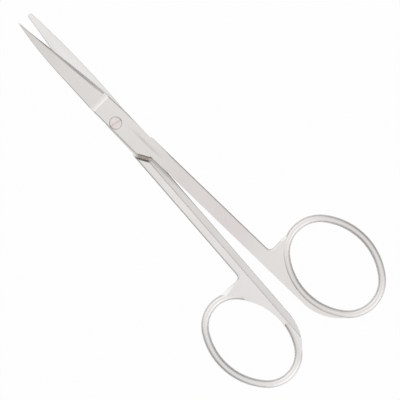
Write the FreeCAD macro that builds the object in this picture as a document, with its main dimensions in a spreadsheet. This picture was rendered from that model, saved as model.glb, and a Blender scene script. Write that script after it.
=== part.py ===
import FreeCAD, Part
import math
import os
import re
import Sketcher

# Iris scissors: two forged halves crossed in a lap joint and held by one slotted screw.
# Each half is drawn in its own closed frame: +X to the tips, the mid-line of the closed
# scissors on Y = 0, the mating plane on Z = 0 and the half's outer face on the +Z side.
# The blade's back is on the +Y side and the ring on the -Y side.

SIZES = [
    ("half_depth", 1.8, "joint thickness of one half, and half the shank's"),
    ("mating_gap", 0.04, "running gap between the two mating faces"),
    ("rest_opening", 5.2, "angle between the halves at rest, degrees"),
    ("screw_offset", 0.87, "screw axis from the mid-line"),
    ("shank_outer", 2.92, "outer edge of the shank from the mid-line"),
    ("lap_half", 0.9, "half the width of the shanks' lapped inner ledges"),
    ("lap_lean", 0.12, "lean of the walls over and under a ledge"),
    ("lap_rise", 0.15, "rise of a ledge on either side of its middle"),
    ("lap_gap", 0.12, "gap between the lapped shanks when closed"),
    ("face_drop", 0.45, "fall of the outer face from the joint to the ring's end"),
    ("edge_round", 0.45, "rounding of the shank's outer edges"),
    ("joint_round", 0.38, "rounding of the joint's long edges"),
    ("crotch_round", 1.3, "rounding between shank and ring"),
    ("flank_start", 8.6, "where the flank has its full width, from the mid-line"),
    ("flank_width", 1.2, "sloping flank of the web beside the crotch"),
    ("flank_drop", 0.65, "fall of that flank"),
    ("flank_fade", 0.01, "width and fall that are left at the shank"),
    ("tongue_back", 2.94, "tongue's back edge from the mid-line"),
    ("tongue_front", 3.0, "tongue's cutting side from the mid-line"),
    ("step_x", 9.2, "step in the outer edge behind the screw"),
    ("step_depth", 0.34, "depth of that step"),
    ("step_length", 0.45, "length of that step"),
    ("notch_top_x", 8.7, "notch at the back edge"),
    ("notch_base_x", 12.2, "foot of the notch"),
    ("notch_base_y", 1.1, "end of the notch's top edge, from the mid-line"),
    ("wall_lean", 0.9, "lean of the notch's and the shoulder's wall, mating plane to face"),
    ("shoulder_top_x", 10.35, "shoulder at the outer edge"),
    ("shoulder_base_x", 13.9, "inner end of the shoulder"),
    ("shoulder_base_y", 0.58, "the same, from the mid-line"),
    ("strip_start", 1.5, "start of the lowered strip along the joint's outer edge"),
    ("strip_middle", 7.5, "deepest place of that strip"),
    ("strip_end", 17.0, "end of that strip"),
    ("strip_inner", 0.5, "inner edge of the strip from the mid-line"),
    ("strip_cove", 0.95, "width of the cove that leads down to the strip"),
    ("strip_drop", 0.2, "depth of the strip"),
    ("strip_fade", 0.01, "depth that is left at its ends"),
    ("ramp_x", 5.9, "top of the coved ramp from the joint to the blade"),
    ("back_share", 0.06, "rounded back as a share of the blade's width"),
    ("hollow_share", 0.03, "hollow of the inner face as a share of its width"),
    ("wire_width", 1.95, "ring wire across the plan"),
    ("wire_top", 0.93, "radius of the wire's upper and lower side"),
    ("crest_inset", 0.06, "ring's crest under the mating face"),
    ("bow_inset", 0.3, "bow's rim inside the wire's crest line, at the ring's end"),
    ("bow_lift", 1.97, "bow's rim over the wire's crest line, on the inner side"),
    ("flush_end", 2.5, "end of the flush mating face past the ring's middle"),
    ("hole_trim", 0.03, "what the hole's cut leaves of the wire's widest line"),
    ("spare", 1.0, "reach of a cutter past what it cuts"),
    ("match_margin", 0.01, "how closely an edge has to lie to a place to be picked"),
    ("shaft_radius", 1.0, "screw shaft"),
    ("shaft_play", 0.04, "radial play of the front half on the screw"),
    ("thread_play", 0.01, "radial play in the rear half's thread"),
    ("head_radius", 1.6, "screw head"),
    ("head_cone", 0.75, "height of the head's cone"),
    ("head_rim", 0.15, "straight rim of the head"),
    ("head_crown", 0.12, "crown of the head over the joint face"),
    ("slot_width", 0.42, "screw slot"),
    ("slot_depth", 0.4, "screw slot under the crown"),
    ("slot_turn", 80.0, "screw slot from the X axis, degrees"),
    ("front_ring_x", 65.46, "middle of the front ring's hole"),
    ("front_ring_y", 11.46, "the same, from the mid-line"),
    ("front_hole_length", 25.54, "front ring's hole"),
    ("front_hole_width", 18.9, "front ring's hole"),
    ("front_hole_end", 7.69, "radius of the hole's ends"),
    ("front_ring_tilt", -1.0, "front ring's tilt, degrees"),
    ("rear_ring_x", 64.49, "middle of the rear ring's hole"),
    ("rear_ring_y", 10.83, "the same, from the mid-line"),
    ("rear_hole_length", 24.5, "rear ring's hole"),
    ("rear_hole_width", 17.3, "rear ring's hole"),
    ("rear_hole_end", 6.83, "radius of the hole's ends"),
    ("rear_ring_tilt", -9.0, "rear ring's tilt, degrees"),
    ("rear_tip_round", 0.4, "corners of the rear blade's blunt tip"),
]
# Stations of each blade: distance from the screw, back, cutting edge, thickness at the back,
# width of the cutting bevel and height of its upper edge over the mating plane.
STATION_FIELDS = ("x", "back", "edge", "depth", "bevel", "lip")
STATIONS = {
    "front": {
        "root": (7.4, 2.7, -2.75, 1.5, 0.5, 1.15),
        "belly": (20.0, 1.85, -1.81, 1.15, 0.55, 0.75),
        "fore": (30.0, 0.77, -0.83, 0.85, 0.12, 0.6),
        "tip": (35.58, -0.31, -0.37, 0.5, 0.01, 0.45),
    },
    "rear": {
        "root": (7.4, 2.97, -2.75, 1.5, 0.5, 1.15),
        "belly": (20.0, 2.52, -1.5, 1.15, 0.55, 0.75),
        "fore": (30.0, 1.75, -0.42, 0.85, 0.3, 0.6),
        "tip": (35.5, 1.15, 0.02, 0.6, 0.15, 0.45),
    },
}
for half, stations in STATIONS.items():
    for station, values in stations.items():
        for field, value in zip(STATION_FIELDS, values):
            SIZES.append((f"{half}_{station}_{field}", value, f"{half} blade's {station}"))

doc = FreeCAD.newDocument("iris_scissors")
sheet = doc.addObject("Spreadsheet::Sheet", "Sizes")
for row, (alias, value, note) in enumerate(SIZES, start=1):
    sheet.set(f"A{row}", note)
    sheet.set(f"B{row}", str(value))
    sheet.setAlias(f"B{row}", alias)
doc.recompute()
ALIASES = {alias for alias, value, note in SIZES}


def bound(expression):
    """The expression with the sheet's name in front of each of its sizes."""
    return re.sub(r"[a-z_]+", lambda word: f"Sizes.{word[0]}" if word[0] in ALIASES else word[0], expression)


def size(expression):
    """Present value of an expression of sizes."""
    value = sheet.evalExpression(bound(expression))
    return float(getattr(value, "Value", value))


def new_sketch(body, name, role, x="0", y="0", z="0", turn="0"):
    """Sketch on an origin plane of the body, moved and turned in that plane, or lifted off it.

    Where role is another sketch, the new one stands upright on it, along its X axis.
    """
    sketch = body.newObject("Sketcher::SketchObject", name)
    if isinstance(role, str):
        plane = next(item for item in body.Origin.OriginFeatures if item.Role == role)
        sketch.AttachmentSupport = [(plane, "")]
        sketch.MapMode = "FlatFace"
    else:
        sketch.AttachmentSupport = [(role, "")]
        sketch.MapMode = "ObjectXZ"
    upright = FreeCAD.Rotation(FreeCAD.Vector(0, 0, 1), 1)
    sketch.AttachmentOffset = FreeCAD.Placement(FreeCAD.Vector(0, 0, 0), upright)
    for axis, expression in (("x", x), ("y", y), ("z", z)):
        sketch.setExpression(f"AttachmentOffset.Base.{axis}", bound(expression))
    sketch.setExpression("AttachmentOffset.Rotation.Angle", bound(turn))
    doc.recompute()
    return sketch


def constrain(sketch, kind, *where, to):
    """Dimension of a sketch bound to an expression of sizes."""
    index = sketch.addConstraint(Sketcher.Constraint(kind, *where, size(to)))
    sketch.setExpression(f"Constraints[{index}]", bound(to))


def draw_outline(sketch, corners, arcs=None):
    """Closed outline through corners, each a pair of expressions.

    arcs gives the radius of a side that is an arc, by the number of its first corner;
    a radius that starts with a minus sign bulges to the left of the way round.
    """
    arcs = arcs or {}
    points = [FreeCAD.Vector(size(x), size(y), 0) for x, y in corners]
    for side, start in enumerate(points):
        end = points[(side + 1) % len(points)]
        if side in arcs:
            sketch.addGeometry(arc_between(start, end, size(arcs[side])), False)
        else:
            sketch.addGeometry(Part.LineSegment(start, end), False)
    # A sketch keeps an arc anticlockwise, so one that bulges to the left starts at its end.
    first = [2 if arcs.get(side, "").startswith("-") else 1 for side in range(len(points))]
    for side, (x, y) in enumerate(corners):
        after = (side + 1) % len(points)
        sketch.addConstraint(Sketcher.Constraint("Coincident", side, 3 - first[side], after, first[after]))
        constrain(sketch, "DistanceX", -1, 1, side, first[side], to=x)
        constrain(sketch, "DistanceY", -1, 1, side, first[side], to=y)
    for side, radius in arcs.items():
        constrain(sketch, "Radius", side, to=f"abs({radius})")
    doc.recompute()


def arc_between(start, end, radius):
    """The shorter arc from start to end; a negative radius bulges to the left."""
    chord = end - start
    left = FreeCAD.Vector(-chord.y, chord.x, 0).normalize()
    side = math.copysign(1, radius)
    height = math.sqrt(max(radius ** 2 - (chord.Length / 2) ** 2, 0))
    crown = start + chord * 0.5 - left * side * (abs(radius) - height)
    return Part.Arc(start, crown, end)


def draw_oval(sketch, half_length, half_width, end_radius):
    """Oval of four arcs that meet tangentially, about the sketch's own origin."""
    sum_of_squares = f"({half_length}) ^ 2 + ({half_width}) ^ 2"
    side_radius = (
        f"(({sum_of_squares} - 2 * ({half_length}) * ({end_radius}))"
        f" / (2 * (({half_width}) - ({end_radius}))))"
    )
    apart = f"({side_radius} - ({end_radius}))"
    x = f"{side_radius} * (({half_length}) - ({end_radius})) / {apart}"
    y = f"({end_radius}) * ({side_radius} - ({half_width})) / {apart}"
    corners = [(x, f"-({y})"), (x, y), (f"-({x})", y), (f"-({x})", f"-({y})")]
    draw_outline(sketch, corners, {0: end_radius, 1: side_radius, 2: end_radius, 3: side_radius})


def draw_ellipse(sketch, half_length, half_width):
    """Ellipse about the sketch's own origin."""
    ellipse = Part.Ellipse(FreeCAD.Vector(0, 0, 0), size(half_length), size(half_width))
    sketch.addGeometry(ellipse, False)
    sketch.exposeInternalGeometry(0)
    sketch.addConstraint(Sketcher.Constraint("Coincident", 0, 3, -1, 1))
    sketch.addConstraint(Sketcher.Constraint("Horizontal", 1))
    constrain(sketch, "Distance", 1, to=f"2 * ({half_length})")
    constrain(sketch, "Distance", 2, to=f"2 * ({half_width})")
    doc.recompute()


def pad(body, sketch, length, symmetric=False):
    feature = body.newObject("PartDesign::Pad", sketch.Name + "_pad")
    feature.Profile = sketch
    feature.SideType = "Symmetric" if symmetric else "One side"
    feature.setExpression("Length", bound(length))
    doc.recompute()
    return feature


def pocket(body, sketch, length=None, both=False, flip=False):
    """Cut along the sketch's normal, through everything where no length is given."""
    feature = body.newObject("PartDesign::Pocket", sketch.Name + "_cut")
    feature.Profile = sketch
    if both:
        feature.SideType = "Symmetric"
    feature.Reversed = flip
    if length is None:
        feature.Type = "ThroughAll"
    else:
        feature.setExpression("Length", bound(length))
    doc.recompute()
    return feature


def dress(body, kind, name, edges, sizes):
    """Fillet or chamfer of the present tip's edges that pass the given test."""
    base = body.Tip
    picked = [f"Edge{number}" for number, edge in enumerate(base.Shape.Edges, start=1) if edges(edge)]
    feature = body.newObject(kind, name)
    feature.Base = (base, picked)
    for prop, expression in sizes.items():
        feature.setExpression(prop, bound(expression))
    doc.recompute()
    return feature


def middle(edge):
    return edge.valueAt((edge.FirstParameter + edge.LastParameter) / 2)


def is_upright(edge):
    """Whether a straight edge stands along Z."""
    first = edge.firstVertex().Point
    last = edge.lastVertex().Point
    return math.hypot(first.x - last.x, first.y - last.y) < 1e-6 < abs(first.z - last.z)


def build_handle(body, half):
    """Shank, web, ring and tongue, with the taper, roundings, hole and lapped ledge."""
    ring_x = f"{half}_ring_x"
    ring_y = f"{half}_ring_y"
    crest_length = f"({half}_hole_length + wire_width) / 2"
    crest_width = f"({half}_hole_width + wire_width) / 2"
    crest_end = f"({half}_hole_end + wire_width / 2)"
    ring_place = {"x": f"-{ring_x}", "y": f"-{ring_y}", "turn": f"{half}_ring_tilt"}
    crest_x = f"({ring_x} - {crest_length})"
    near_x = f"({crest_x} - wire_width / 3)"
    far_x = f"({ring_x} + {crest_length} + wire_width)"

    # Shank with the web that joins it to the ring, whose near side runs down into the wire.
    # The inner side is left wide here and cut back by the lap.
    inner = "lap_half + spare"
    bend = f"({crest_x} - {near_x})"
    drop = f"({ring_y} / 2 + spare)"
    plate = new_sketch(body, f"{half}_plate", "XY_Plane")
    draw_outline(plate, [
        ("-shoulder_top_x + wall_lean", "-shank_outer"),
        ("-shoulder_base_x + wall_lean", "-shoulder_base_y"),
        ("-shoulder_base_x + wall_lean", inner),
        (f"-{ring_x} + spare", inner),
        (f"-{ring_x} + spare", f"-{ring_y} - spare"),
        (f"-{crest_x}", f"-{ring_y} - spare"),
        (f"-{near_x}", f"-{ring_y} / 2"),
        (f"-{near_x}", "-shank_outer"),
    ], arcs={5: f"({bend} ^ 2 + {drop} ^ 2) / (2 * {bend})"})
    pad(body, plate, "2 * half_depth", symmetric=True)
    cut_shoulder(body, half)

    # Tongue of the lap joint, which runs back over the shank.
    tongue = new_sketch(body, f"{half}_tongue", "XY_Plane", z="mating_gap / 2")
    draw_outline(tongue, [
        ("-shoulder_base_x - 2 * spare", "-shank_outer"),
        ("-step_x", "-shank_outer"),
        ("-step_x + step_length", "-shank_outer + step_depth"),
        ("0", "-tongue_front"),
        (f"{half}_root_x", f"{half}_root_edge"),
        (f"{half}_root_x", f"{half}_root_back"),
        ("-notch_top_x", "tongue_back"),
        ("-shoulder_base_x - 2 * spare", "tongue_back"),
    ])
    pad(body, tongue, "half_depth - mating_gap / 2")
    cut_taper(body, f"{half}_taper", far_x)

    dress(body, "PartDesign::Fillet", f"{half}_crotch",
          lambda edge: is_upright(edge) and near_point(edge, f"-{near_x}", "-shank_outer"),
          {"Radius": "crotch_round"})
    dress(body, "PartDesign::Fillet", f"{half}_shank_edges",
          lambda edge: is_outer_rim(edge, size(f"-{crest_x}")), {"Radius": "edge_round"})
    dress(body, "PartDesign::Fillet", f"{half}_joint_edges", is_joint_rim, {"Radius": "joint_round"})

    cut_flanks(body, half, near_x)

    # Bow that carries the shank round the ring's inner side and dies away into the wire.
    bow = new_sketch(body, f"{half}_bow", "XY_Plane", x=f"-{ring_x}",
                     y=f"-{ring_y} + (bow_lift + bow_inset) / 2", turn=f"{half}_ring_tilt")
    draw_ellipse(bow, f"{crest_length} - bow_inset", f"{crest_width} + (bow_lift - bow_inset) / 2")
    pad(body, bow, "2 * half_depth", symmetric=True)
    cut_taper(body, f"{half}_bow_taper", far_x)

    # The plate stops on the wire's crest line, then the oval wire goes round.
    crest = new_sketch(body, f"{half}_crest", "XY_Plane", **ring_place)
    draw_oval(crest, crest_length, crest_width, crest_end)
    pocket(body, crest, both=True)
    line = new_sketch(body, f"{half}_wire_line", "XY_Plane", **ring_place)
    draw_oval(line, crest_length, crest_width, crest_end)
    section = new_sketch(body, f"{half}_wire_section", line, x=crest_length, y="crest_inset / 2",
                         turn="90")
    draw_oval(section, "half_depth - crest_inset / 2", "wire_width / 2", "wire_top")
    wire = body.newObject("PartDesign::AdditivePipe", f"{half}_wire")
    wire.Profile = section
    wire.Spine = (line, ["Edge1", "Edge2", "Edge3", "Edge4"])
    doc.recompute()

    # On the mating side the web and the shank are ground flush up to the hole's edge.
    flush = new_sketch(body, f"{half}_flush", "XY_Plane", z="-half_depth")
    draw_outline(flush, [
        (f"-{ring_x} - flush_end", f"-{ring_y} / 2"),
        (f"-{crest_x} - wire_width / 2", f"-{ring_y} / 2"),
        (f"-{crest_x} - wire_width / 2", "-shank_outer"),
        (f"-{ring_x} + flush_end", f"-{ring_y} + {crest_width} + wire_width / 4"),
        (f"-{ring_x} - flush_end", f"-{ring_y} + {crest_width} + wire_width / 4"),
    ])
    pad(body, flush, "half_depth / 2")
    hole = new_sketch(body, f"{half}_hole", "XY_Plane", **ring_place)
    draw_oval(hole, f"{half}_hole_length / 2 - hole_trim", f"{half}_hole_width / 2 - hole_trim",
              f"{half}_hole_end - hole_trim")
    pocket(body, hole, both=True)

    cut_lap(body, half, far_x)
    cut_notch(body, half)
    cut_strip(body, half)


def cut_lap(body, half, far_x):
    """Inner side of the shank, with the ledge that laps on the other half's when closed."""
    lap = new_sketch(body, f"{half}_lap", "YZ_Plane", z="-notch_base_x")
    slant = "lap_lean * (half_depth + spare - lap_rise) / (half_depth - lap_rise)"
    draw_outline(lap, [
        (f"-lap_half - lap_gap / 2 + lap_lean - {slant}", "-half_depth - spare"),
        ("lap_half + tongue_back", "-half_depth - spare"),
        ("lap_half + tongue_back", "half_depth + spare"),
        (f"lap_half - lap_gap / 2 - lap_lean + {slant}", "half_depth + spare"),
        ("lap_half - lap_gap / 2 - lap_lean", "mating_gap / 2 + lap_rise"),
        ("-lap_half - lap_gap / 2 + lap_lean", "mating_gap / 2 - lap_rise"),
    ])
    pocket(body, lap, f"{far_x} - notch_base_x")


def cut_flanks(body, half, near_x):
    """The web's faces slope down to its near side, beside the crotch."""
    for face, side in (("outer", ""), ("mating", "-")):
        sketches = []
        for place, y, width, drop in (
            ("ring", f"{half}_ring_y", "flank_width", "flank_drop"),
            ("web", "flank_start", "flank_width", "flank_drop"),
            ("shank", "shank_outer", "flank_fade", "flank_fade"),
        ):
            sketch = new_sketch(body, f"{half}_flank_{face}_{place}", "XZ_Plane", z=y)
            reach = f"{drop} * ({width} + spare) / {width}"
            draw_outline(sketch, [
                (f"-{near_x} - {width}", f"{side}half_depth"),
                (f"-{near_x} + spare", f"{side}(half_depth - {reach})"),
                (f"-{near_x} + spare", f"{side}(half_depth + spare)"),
                (f"-{near_x} - {width}", f"{side}(half_depth + spare)"),
            ])
            sketches.append(sketch)
        cut_loft(body, f"{half}_flank_{face}", sketches, ruled=True)


def cut_taper(body, name, far_x):
    """The outer face falls from the step to the ring's far end."""
    taper = new_sketch(body, name, "XZ_Plane")
    draw_outline(taper, [
        ("-step_x", "half_depth"),
        ("-step_x", "half_depth + spare"),
        (f"-{far_x}", "half_depth + spare"),
        (f"-{far_x}", "half_depth - face_drop"),
    ])
    pocket(body, taper, both=True)


def cut_loft(body, name, sketches, ruled=False):
    feature = body.newObject("PartDesign::SubtractiveLoft", name)
    feature.Profile = sketches[0]
    feature.Sections = sketches[1:]
    feature.Ruled = ruled
    doc.recompute()


def cut_shoulder(body, half):
    """Leaning wall where the shank's full thickness ends ahead of the joint."""
    sketches = []
    for level, z, lean in (("top", "-half_depth", "0"), ("foot", "mating_gap / 2", "wall_lean")):
        sketch = new_sketch(body, f"{half}_shoulder_{level}", "XY_Plane", z=z)
        draw_outline(sketch, [
            (f"-shoulder_top_x + {lean}", "-shank_outer"),
            (f"-shoulder_base_x + {lean}", "-shoulder_base_y"),
            (f"-shoulder_base_x + {lean}", "lap_half + 2 * spare"),
            ("-step_x", "lap_half + 2 * spare"),
            ("-step_x", "-shank_outer"),
        ])
        sketches.append(sketch)
    cut_loft(body, f"{half}_shoulder", sketches, ruled=True)


def cut_notch(body, half):
    """Notch at the back edge, with a wall that leans like the other half's shoulder."""
    sketches = []
    for level, z, lean in (("foot", "mating_gap / 2", "wall_lean"), ("top", "half_depth", "0")):
        sketch = new_sketch(body, f"{half}_notch_{level}", "XY_Plane", z=z)
        draw_outline(sketch, [
            (f"-notch_top_x + {lean}", "tongue_back"),
            (f"-notch_top_x + {lean}", "tongue_back + spare"),
            ("-notch_base_x - spare", "tongue_back + spare"),
            ("-notch_base_x - spare", "notch_base_y"),
            (f"-notch_base_x + {lean}", "notch_base_y"),
        ])
        sketches.append(sketch)
    cut_loft(body, f"{half}_notch", sketches, ruled=True)


def cut_strip(body, half):
    """Strip along the joint's outer edge, lowered by a cove and fading at both ends."""
    sketches = []
    for place, drop in (("start", "strip_fade"), ("middle", "strip_drop"), ("end", "strip_fade")):
        sketch = new_sketch(body, f"{half}_strip_{place}", "YZ_Plane", z=f"-strip_{place}")
        draw_outline(sketch, [
            ("-shank_outer - spare", "half_depth + spare"),
            ("-shank_outer - spare", f"half_depth - {drop}"),
            ("-strip_inner - strip_cove", f"half_depth - {drop}"),
            ("-strip_inner", "half_depth"),
            ("-strip_inner", "half_depth + spare"),
        ], arcs={2: f"(strip_cove ^ 2 + {drop} ^ 2) / (2 * {drop})"})
        sketches.append(sketch)
    cut_loft(body, f"{half}_strip", sketches)


def near_point(edge, x, y):
    point = middle(edge)
    return math.hypot(point.x - size(x), point.y - size(y)) < size("match_margin")


def is_outer_rim(edge, crest_x):
    """Long edges of the shank's and web's outer side, on the outer and the mating face."""
    point = middle(edge)
    level = abs(point.z) > size("half_depth - face_drop - match_margin") and not is_upright(edge)
    margin = size("match_margin")
    outside = point.y < size("-shank_outer") + margin and point.x > crest_x - margin
    return level and outside and point.x < size("-step_x") - margin


def is_joint_rim(edge):
    """Long edges of the joint's outer face, ahead of the step and the notch."""
    point = middle(edge)
    level = abs(point.z - size("half_depth")) < size("match_margin")
    return level and edge.Length > size("step_x / 2") and -size("step_x") < point.x < size("ramp_x")


def build_blade(body, half):
    """Blade lofted through its stations, with the coved ramp, hollow, bevel and rounded back."""
    ramp = new_sketch(body, f"{half}_ramp", "XZ_Plane")
    length = f"({half}_root_x - ramp_x)"
    drop = f"(half_depth - {half}_root_depth)"
    draw_outline(ramp, [
        ("ramp_x", "half_depth"),
        (f"{half}_root_x", f"{half}_root_depth"),
        (f"{half}_root_x + spare", f"{half}_root_depth"),
        (f"{half}_root_x + spare", "half_depth + spare"),
        ("ramp_x", "half_depth + spare"),
    ], arcs={0: f"({length} ^ 2 + {drop} ^ 2) / (2 * {drop})"})
    pocket(body, ramp, both=True)
    sketches = [blade_section(body, half, station) for station in STATIONS[half]]
    loft = body.newObject("PartDesign::AdditiveLoft", f"{half}_blade")
    loft.Profile = sketches[0]
    loft.Sections = sketches[1:]
    doc.recompute()


def round_tip(body):
    """Blunt tip of the rear blade, with rounded corners."""
    tip = new_sketch(body, "rear_tip", "XY_Plane")
    draw_outline(tip, [
        ("rear_tip_x - rear_tip_round", "rear_tip_edge - spare"),
        ("rear_tip_x + spare", "rear_tip_edge - spare"),
        ("rear_tip_x + spare", "rear_tip_back + spare"),
        ("rear_tip_x - rear_tip_round", "rear_tip_back + spare"),
        ("rear_tip_x - rear_tip_round", "rear_tip_back"),
        ("rear_tip_x", "rear_tip_back - rear_tip_round"),
        ("rear_tip_x", "rear_tip_edge + rear_tip_round"),
        ("rear_tip_x - rear_tip_round", "rear_tip_edge"),
    ], arcs={4: "-rear_tip_round", 6: "-rear_tip_round"})
    pocket(body, tip, both=True)


def blade_section(body, half, station):
    prefix = f"{half}_{station}"
    back = f"{prefix}_back"
    edge = f"{prefix}_edge"
    depth = f"{prefix}_depth"
    width = f"({back} - {edge})"
    section = new_sketch(body, f"{prefix}_section", "YZ_Plane", z=f"{prefix}_x")
    draw_outline(section, [
        (edge, "mating_gap / 2"),
        (back, "mating_gap / 2"),
        (back, f"{depth} - back_share * {width}"),
        (f"{back} - back_share * {width}", depth),
        (f"{edge} + {prefix}_bevel", f"{prefix}_lip"),
    ], arcs={
        0: f"-{width} * (1 / (8 * hollow_share) + hollow_share / 2)",
        2: f"back_share * {width}",
    })
    return section


def cut_screw_seat(body, half):
    """Turned hole of the screw: countersunk in the front half, threaded through the rear."""
    side = "screw_offset" if half == "front" else "-screw_offset"
    seat = new_sketch(body, f"{half}_seat", "XZ_Plane", z=f"-({side})")
    if half == "front":
        bore = "shaft_radius + shaft_play"
        mouth = "head_radius + shaft_play"
        corners = [
            ("0", "-half_depth"),
            (bore, "-half_depth"),
            (bore, "half_depth - head_rim - head_cone"),
            (mouth, "half_depth - head_rim"),
            (mouth, "half_depth + spare"),
            ("0", "half_depth + spare"),
        ]
    else:
        bore = "shaft_radius + thread_play"
        corners = [
            ("0", "-spare"),
            (bore, "-spare"),
            (bore, "half_depth + spare"),
            ("0", "half_depth + spare"),
        ]
    draw_outline(seat, corners)
    groove = body.newObject("PartDesign::Groove", f"{half}_screw_hole")
    groove.Profile = seat
    groove.ReferenceAxis = (seat, ["V_Axis"])
    groove.Angle = 360
    doc.recompute()


def build_half(half):
    body = doc.addObject("PartDesign::Body", f"{half}_half")
    body.Label = f"{half}_half"
    build_handle(body, half)
    build_blade(body, half)
    if half == "rear":
        round_tip(body)
    cut_screw_seat(body, half)
    return body


def build_screw():
    body = doc.addObject("PartDesign::Body", "pivot_screw")
    body.Label = "pivot_screw"
    profile = new_sketch(body, "screw_profile", "XZ_Plane")
    draw_outline(profile, [
        ("0", "-half_depth"),
        ("shaft_radius", "-half_depth"),
        ("shaft_radius", "half_depth - head_rim - head_cone"),
        ("head_radius", "half_depth - head_rim"),
        ("head_radius", "half_depth"),
        ("0", "half_depth + head_crown"),
    ], arcs={4: "(head_radius ^ 2 + head_crown ^ 2) / (2 * head_crown)"})
    turned = body.newObject("PartDesign::Revolution", "screw_turned")
    turned.Profile = profile
    turned.ReferenceAxis = (profile, ["V_Axis"])
    turned.Angle = 360
    doc.recompute()
    slot = new_sketch(body, "screw_slot", "XY_Plane", z="half_depth + head_crown", turn="slot_turn")
    draw_outline(slot, [
        ("-head_radius - spare", "-slot_width / 2"),
        ("head_radius + spare", "-slot_width / 2"),
        ("head_radius + spare", "slot_width / 2"),
        ("-head_radius - spare", "slot_width / 2"),
    ])
    pocket(body, slot, "slot_depth")
    return body


front = build_half("front")
rear = build_half("rear")
screw = build_screw()

# The screw's axis is the origin and the underside rests on Z = 0. The rear half is the
# same forging turned over, so its screw hole lies on the other side of its mid-line.
swing = FreeCAD.Placement(
    FreeCAD.Vector(0, 0, size("half_depth")),
    FreeCAD.Rotation(FreeCAD.Vector(0, 0, 1), size("rest_opening / 2")),
)
counter_swing = FreeCAD.Placement(
    FreeCAD.Vector(0, 0, size("half_depth")),
    FreeCAD.Rotation(FreeCAD.Vector(0, 0, 1), size("-rest_opening / 2")),
)
to_screw = FreeCAD.Placement(FreeCAD.Vector(0, size("-screw_offset"), 0), FreeCAD.Rotation())
turned_over = FreeCAD.Placement(
    FreeCAD.Vector(0, size("-screw_offset"), 0),
    FreeCAD.Rotation(FreeCAD.Vector(1, 0, 0), 180),
)
front.Placement = swing * to_screw
rear.Placement = counter_swing * turned_over
screw.Placement = FreeCAD.Placement(FreeCAD.Vector(0, 0, size("half_depth")), FreeCAD.Rotation())
doc.recompute()

failed = [item.Name for item in doc.Objects if {"Invalid", "Error"} & set(item.State)]
if failed:
    raise RuntimeError("These objects did not build: " + ", ".join(failed))
os.makedirs("parts", exist_ok=True)
for body in (front, rear, screw):
    shape = body.Shape
    if shape.isNull() or not shape.isValid() or len(shape.Solids) != 1:
        raise RuntimeError(body.Label + " is not one sound solid")
    shape.exportStep(os.path.join("parts", body.Label + ".step"))
    print(body.Label, round(shape.Volume, 2), shape.BoundBox)
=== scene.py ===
import math

import bpy
from mathutils import Matrix, Vector

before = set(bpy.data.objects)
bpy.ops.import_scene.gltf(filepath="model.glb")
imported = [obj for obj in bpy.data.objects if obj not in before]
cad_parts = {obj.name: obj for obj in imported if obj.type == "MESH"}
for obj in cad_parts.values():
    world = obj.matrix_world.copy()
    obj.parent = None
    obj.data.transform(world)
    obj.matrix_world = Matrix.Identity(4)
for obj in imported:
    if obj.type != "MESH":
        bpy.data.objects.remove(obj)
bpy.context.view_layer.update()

MM = 0.001

# Where the photograph was taken from: straight above, the tips to the upper left.
VIEW_TURN = math.radians(46.5)       # handles below the picture's horizontal
VIEW_CENTRE = (-29.0, -2.1)          # middle of the picture on the table, in millimetres
VIEW_WIDTH = 102.2                   # width of the picture on the table, in millimetres
CAMERA_HEIGHT = 1.2
SENSOR = 36.0

# Steel's colours along each half: the ring and web, the shank, the joint's flat faces, the blade.
# These are partly the steel's tint and partly painted light and shade: each stretch is as bright as it
# looks lit, and the rings are lighter for their highlights.
FRONT_TONES_AND_LIGHT = ((0.845, 0.828, 0.815), (0.79, 0.76, 0.75), (0.84, 0.83, 0.805), (0.82, 0.8, 0.785))
REAR_TONES_AND_LIGHT = ((0.87, 0.86, 0.85), (0.87, 0.86, 0.84), (0.85, 0.84, 0.82), (0.9, 0.9, 0.885))
SCREW_TONES = ((0.86, 0.8, 0.785),) * 4
# Where each colour has changed into the next one, from the pivot, in millimetres.
TONE_CHANGES = ((-50.0, -42.0), (-22.0, -10.0), (5.0, 10.0))

# Each noise has its scale per metre, its detail and its roughness.
CLOUD_NOISE = (90.0, 3.0, 0.5)       # faint darker patches of handled steel
CLOUD_RANGE = (0.65, 0.35)           # the noise where a patch starts, and where it is full
CLOUD_SHARE = 0.04                   # how much darker a patch is
CLOUD_COLOUR = (0.0, 0.0, 0.0)
PATCH_NOISE = (350.0, 4.0, 0.6)      # patches that shine a little more or less
PATCH_SPREAD = 0.05                  # how far they raise or lower the roughness
GRAIN_NOISE = (9000.0, 2.0, 0.6)     # grain of the matt-blasted surface
GRAIN_STRENGTH = 0.12
GRAIN_DEPTH = 0.00003
HALF_ROUGHNESS = 0.25
SCREW_ROUGHNESS = 0.24

# How far polishing has softened the edges, in metres: before the blade, and on it.
HALF_WEAR = (0.00006, 0.0003)
SCREW_WEAR = (0.0002, 0.0002)
WEAR_SAMPLES = 6

# Brown film, which polishing and wiping don't reach, and painted shade that darkens the recesses and the
# notch. A range has the openness where it starts and where it is full.
FILM_AND_SHADE_COLOUR = (0.19, 0.15, 0.11)
NOOK_REACH = 0.0015                  # how deep a recess has to be to get film and painted shade
NOOK_SAMPLES = 8
NOOK_RANGE = (0.8, 0.4)
HALF_FILM_AND_SHADE = 0.15                     # share of film and painted shade in a recess
SCREW_FILM_AND_SHADE = 0.1
NOTCH_PLACE = (-11.2, 1.0, 1.8)      # middle of the notch behind the joint, in millimetres
NOTCH_REACH = 2.7                    # how far its painted shade spreads, in millimetres
NOTCH_RANGE = (0.68, 0.57)
RIM_BAND = (1.3, 1.6)                # band of painted shade at the screw's rim, standing in for the gap around its head, in millimetres from its axis
RIM_SHARE = 0.35

FLOOR_SIZE = 3.0
FLOOR_COLOUR = (0.75, 0.75, 0.75)
FLOOR_GLOSS = 0.6                    # share of the mirror-like sheen, which the steel's steep sides show
FLOOR_ROUGHNESS = 0.15
FLOOR_GLOW = 0.965                   # share of plain white in what the camera sees of the floor

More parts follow.
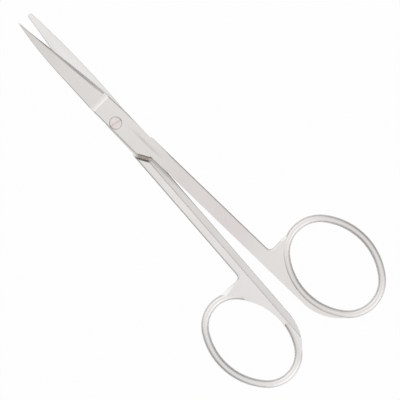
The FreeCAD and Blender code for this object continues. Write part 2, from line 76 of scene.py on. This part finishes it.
# The studio's brightness by the sine of the elevation, from the horizon (0) to straight above (1):
# large soft lights stand beyond the rings and, smaller, beyond the tips. The long sides are darker.
RING_END_LIGHT = [(0.0, 1.15), (0.3, 1.2), (0.65, 1.2), (0.85, 1.1), (0.95, 1.0), (1.0, 0.9)]
TIP_END_LIGHT = [(0.0, 0.5), (0.2, 0.95), (0.5, 1.15), (0.7, 1.17), (0.85, 1.07), (1.0, 0.9)]
SIDE_LIGHT = [
    (0.0, 0.12), (0.15, 0.24), (0.35, 0.5), (0.55, 0.66), (0.85, 0.7), (0.95, 0.82), (1.0, 0.9),
]
LIGHT_TINT = (1.0, 0.985, 0.98)
BRIGHTEST = max(level for place, level in RING_END_LIGHT + TIP_END_LIGHT + SIDE_LIGHT)
ZENITH_GUARD = 0.0001                # keeps the bearing's division from failing straight above


def node_tree(owner):
    owner.use_nodes = True
    tree = owner.node_tree
    tree.nodes.clear()
    return tree


def add(tree, kind, **values):
    """New node; a value whose name is an input is set on that socket, any other on the node."""
    node = tree.nodes.new(kind)
    for name, value in values.items():
        title = name.replace("_", " ").title()
        if title in node.inputs:
            node.inputs[title].default_value = value
        else:
            setattr(node, name, value)
    return node


def calculate(tree, operation, *values):
    """Maths node; each value is a socket or a number."""
    node = tree.nodes.new("ShaderNodeMath")
    node.operation = operation
    for socket, value in zip(node.inputs, values):
        if isinstance(value, bpy.types.NodeSocket):
            tree.links.new(value, socket)
        else:
            socket.default_value = value
    return node.outputs[0]


def squared(tree, value):
    return calculate(tree, "MULTIPLY", value, value)


def mixed(tree, share, first, second):
    """Colour that goes from the first to the second by the share; each is a socket or a colour."""
    node = add(tree, "ShaderNodeMix", data_type="RGBA")
    tree.links.new(share, node.inputs["Factor"])
    for socket, value in ((node.inputs[6], first), (node.inputs[7], second)):
        if isinstance(value, bpy.types.NodeSocket):
            tree.links.new(value, socket)
        else:
            socket.default_value = (*value, 1)
    return node.outputs[2]


def ramped(tree, value, start, end, top=1.0):
    """Number that rises from nothing to the top while the value goes from the start to the end."""
    node = add(tree, "ShaderNodeMapRange", from_min=start, from_max=end, to_max=top)
    tree.links.new(value, node.inputs["Value"])
    return node.outputs[0]


def light_ramp(tree, height, stops):
    """Colour ramp of a soft light's brightness over the elevation."""
    ramp = add(tree, "ShaderNodeValToRGB")
    marks = ramp.color_ramp.elements
    while len(marks) < len(stops):
        marks.new(0.5)
    for mark, (place, level) in zip(marks, stops):
        mark.position = place
        mark.color = [level / BRIGHTEST * tint for tint in LIGHT_TINT] + [1.0]
    tree.links.new(height, ramp.inputs[0])
    return ramp.outputs[0]


def studio():
    world = bpy.data.worlds.new("studio")
    bpy.context.scene.world = world
    tree = node_tree(world)
    place = add(tree, "ShaderNodeTexCoord")
    split = add(tree, "ShaderNodeSeparateXYZ")
    tree.links.new(place.outputs["Generated"], split.inputs[0])
    tip_end = light_ramp(tree, split.outputs["Z"], TIP_END_LIGHT)
    ring_end = light_ramp(tree, split.outputs["Z"], RING_END_LIGHT)
    sides = light_ramp(tree, split.outputs["Z"], SIDE_LIGHT)

    # The end lights' share is the squared cosine of the bearing from the X axis, the rings' light on -X.
    along = squared(tree, split.outputs["X"])
    across = squared(tree, split.outputs["Y"])
    spread = calculate(tree, "MAXIMUM", calculate(tree, "ADD", along, across), ZENITH_GUARD)
    share = calculate(tree, "DIVIDE", along, spread)
    cosine = calculate(tree, "DIVIDE", split.outputs["X"], calculate(tree, "SQRT", spread))
    towards_tips = calculate(tree, "MULTIPLY_ADD", cosine, 0.5, 0.5)
    ends = mixed(tree, towards_tips, ring_end, tip_end)
    light = add(tree, "ShaderNodeBackground", strength=BRIGHTEST)
    tree.links.new(mixed(tree, share, sides, ends), light.inputs["Color"])
    out = add(tree, "ShaderNodeOutputWorld")
    tree.links.new(light.outputs[0], out.inputs[0])


def floor():
    bpy.ops.mesh.primitive_plane_add(size=FLOOR_SIZE)
    plane = bpy.context.object
    plane.name = "floor"
    paper = bpy.data.materials.new("floor_paper")
    tree = node_tree(paper)
    matt = add(tree, "ShaderNodeBsdfDiffuse", color=(*FLOOR_COLOUR, 1))
    sheen = add(tree, "ShaderNodeBsdfGlossy", roughness=FLOOR_ROUGHNESS)
    card = add(tree, "ShaderNodeMixShader", fac=FLOOR_GLOSS)
    tree.links.new(matt.outputs[0], card.inputs[1])
    tree.links.new(sheen.outputs[0], card.inputs[2])
    white = add(tree, "ShaderNodeEmission", strength=1.0)
    path = add(tree, "ShaderNodeLightPath")
    share = calculate(tree, "MULTIPLY", path.outputs["Is Camera Ray"], FLOOR_GLOW)
    mix = add(tree, "ShaderNodeMixShader")
    tree.links.new(share, mix.inputs[0])
    tree.links.new(card.outputs[0], mix.inputs[1])
    tree.links.new(white.outputs[0], mix.inputs[2])
    out = add(tree, "ShaderNodeOutputMaterial")
    tree.links.new(mix.outputs[0], out.inputs["Surface"])
    plane.data.materials.append(paper)


def camera():
    right = Vector((-math.cos(VIEW_TURN), -math.sin(VIEW_TURN), 0))
    up = Vector((math.sin(VIEW_TURN), -math.cos(VIEW_TURN), 0))
    back = right.cross(up)
    lens = bpy.data.cameras.new("camera")
    eye = bpy.data.objects.new("camera", lens)
    bpy.context.scene.collection.objects.link(eye)
    turn = Matrix((right, up, back)).transposed().to_4x4()
    x, y = VIEW_CENTRE
    eye.matrix_world = Matrix.Translation((x * MM, y * MM, CAMERA_HEIGHT)) @ turn
    lens.sensor_width = SENSOR
    lens.lens = SENSOR * CAMERA_HEIGHT / (VIEW_WIDTH * MM)
    lens.clip_end = 10 * CAMERA_HEIGHT
    bpy.context.scene.camera = eye


def noise(tree, place, scale, detail, roughness):
    """Noise that stays fixed to the piece."""
    node = add(tree, "ShaderNodeTexNoise", scale=scale, detail=detail, roughness=roughness)
    tree.links.new(place, node.inputs["Vector"])
    return node.outputs["Fac"]


def steel_colour(tree, place, along, tones_and_painted_light):
    """Tones that change from the ring to the blade, partly the steel's tint and partly painted light and
    shade, faintly cloudy as handled steel is.
    """
    colour = tones_and_painted_light[0]
    for tone, (start, end) in zip(tones_and_painted_light[1:], TONE_CHANGES):
        changed = ramped(tree, along, start * MM, end * MM)
        colour = mixed(tree, changed, colour, tone)
    clouds = ramped(tree, noise(tree, place, *CLOUD_NOISE), *CLOUD_RANGE, CLOUD_SHARE)
    return mixed(tree, clouds, colour, CLOUD_COLOUR)


def film_and_shade_share(tree, place, dirt_and_shade):
    """Share of the brown film and painted shade in the recesses, most of all in the notch."""
    nook = add(tree, "ShaderNodeAmbientOcclusion", distance=NOOK_REACH, samples=NOOK_SAMPLES)
    film_and_shade = ramped(tree, nook.outputs["AO"], *NOOK_RANGE, dirt_and_shade)
    offset = add(tree, "ShaderNodeVectorMath", operation="DISTANCE")
    tree.links.new(place, offset.inputs[0])
    offset.inputs[1].default_value = [part * MM for part in NOTCH_PLACE]
    # The notch behind the joint is darkened with painted shade where it is closed in.
    near = ramped(tree, offset.outputs["Value"], NOTCH_REACH * MM, NOTCH_REACH * MM / 2)
    deep = ramped(tree, nook.outputs["AO"], *NOTCH_RANGE)
    return calculate(tree, "MAXIMUM", film_and_shade, calculate(tree, "MULTIPLY", near, deep))


def rim_shade_share(tree, axes):
    """Share of the painted shade around the screw's rim, which stands in for the dark gap around its head.
    """
    squares = [squared(tree, axes.outputs[axis]) for axis in "XY"]
    radius = calculate(tree, "SQRT", calculate(tree, "ADD", *squares))
    start, end = RIM_BAND
    return ramped(tree, radius, start * MM, end * MM, RIM_SHARE)


def worn_normal(tree, place, along, wear):
    """Direction of a surface with a fine blasted grain and edges that polishing has softened."""
    worn = add(tree, "ShaderNodeBevel", samples=WEAR_SAMPLES)
    start, end = TONE_CHANGES[-1]
    before, on_blade = wear
    reach = ramped(tree, along, start * MM, end * MM, on_blade - before)
    tree.links.new(calculate(tree, "ADD", reach, before), worn.inputs["Radius"])
    bump = add(tree, "ShaderNodeBump", strength=GRAIN_STRENGTH, distance=GRAIN_DEPTH)
    tree.links.new(worn.outputs[0], bump.inputs["Normal"])
    tree.links.new(noise(tree, place, *GRAIN_NOISE), bump.inputs["Height"])
    return bump.outputs[0]


def satin_steel(name, tones_and_painted_light, roughness, dirt_and_shade, wear, rimmed=False):
    """Stainless steel with a fine matt-blasted surface.
    The tones are those of the ring and web, the shank, the joint and the blade, partly the steel's tint and
    partly painted light and shade. The dirt and shade share is that of brown film and painted shade in the
    recesses, and a rimmed piece has painted shade around its rim too."""
    steel = bpy.data.materials.new(name)
    tree = node_tree(steel)
    shader = add(tree, "ShaderNodeBsdfPrincipled", metallic=1.0, roughness=roughness)
    place = add(tree, "ShaderNodeTexCoord").outputs["Object"]
    axes = add(tree, "ShaderNodeSeparateXYZ")
    tree.links.new(place, axes.inputs[0])
    along = axes.outputs["X"]

    colour = steel_colour(tree, place, along, tones_and_painted_light)
    # Painted shade, with a brown film, darkens the recesses and the notch.
    film_and_shade = film_and_shade_share(tree, place, dirt_and_shade)
    # A rimmed piece gets a ring of painted shade at its rim, where the gap around the head is.
    if rimmed:
        film_and_shade = calculate(tree, "MAXIMUM", film_and_shade, rim_shade_share(tree, axes))
    tree.links.new(mixed(tree, film_and_shade, colour, FILM_AND_SHADE_COLOUR), shader.inputs["Base Color"])

    spread = add(
        tree, "ShaderNodeMapRange", to_min=roughness - PATCH_SPREAD, to_max=roughness + PATCH_SPREAD
    )
    tree.links.new(noise(tree, place, *PATCH_NOISE), spread.inputs["Value"])
    tree.links.new(spread.outputs[0], shader.inputs["Roughness"])
    tree.links.new(worn_normal(tree, place, along, wear), shader.inputs["Normal"])

    out = add(tree, "ShaderNodeOutputMaterial")
    tree.links.new(shader.outputs[0], out.inputs["Surface"])
    return steel


def dress():
    half = (HALF_ROUGHNESS, HALF_FILM_AND_SHADE, HALF_WEAR)
    screw = (SCREW_ROUGHNESS, SCREW_FILM_AND_SHADE, SCREW_WEAR)
    steels = {
        "front_half": satin_steel("front_steel", FRONT_TONES_AND_LIGHT, *half),
        "rear_half": satin_steel("rear_steel", REAR_TONES_AND_LIGHT, *half),
        "pivot_screw": satin_steel("screw_steel", SCREW_TONES, *screw, rimmed=True),
    }
    for name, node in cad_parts.items():
        for slot in node.material_slots:
            slot.material = steels[name]


studio()
floor()
camera()
dress()
bpy.context.scene.view_settings.view_transform = "Standard"
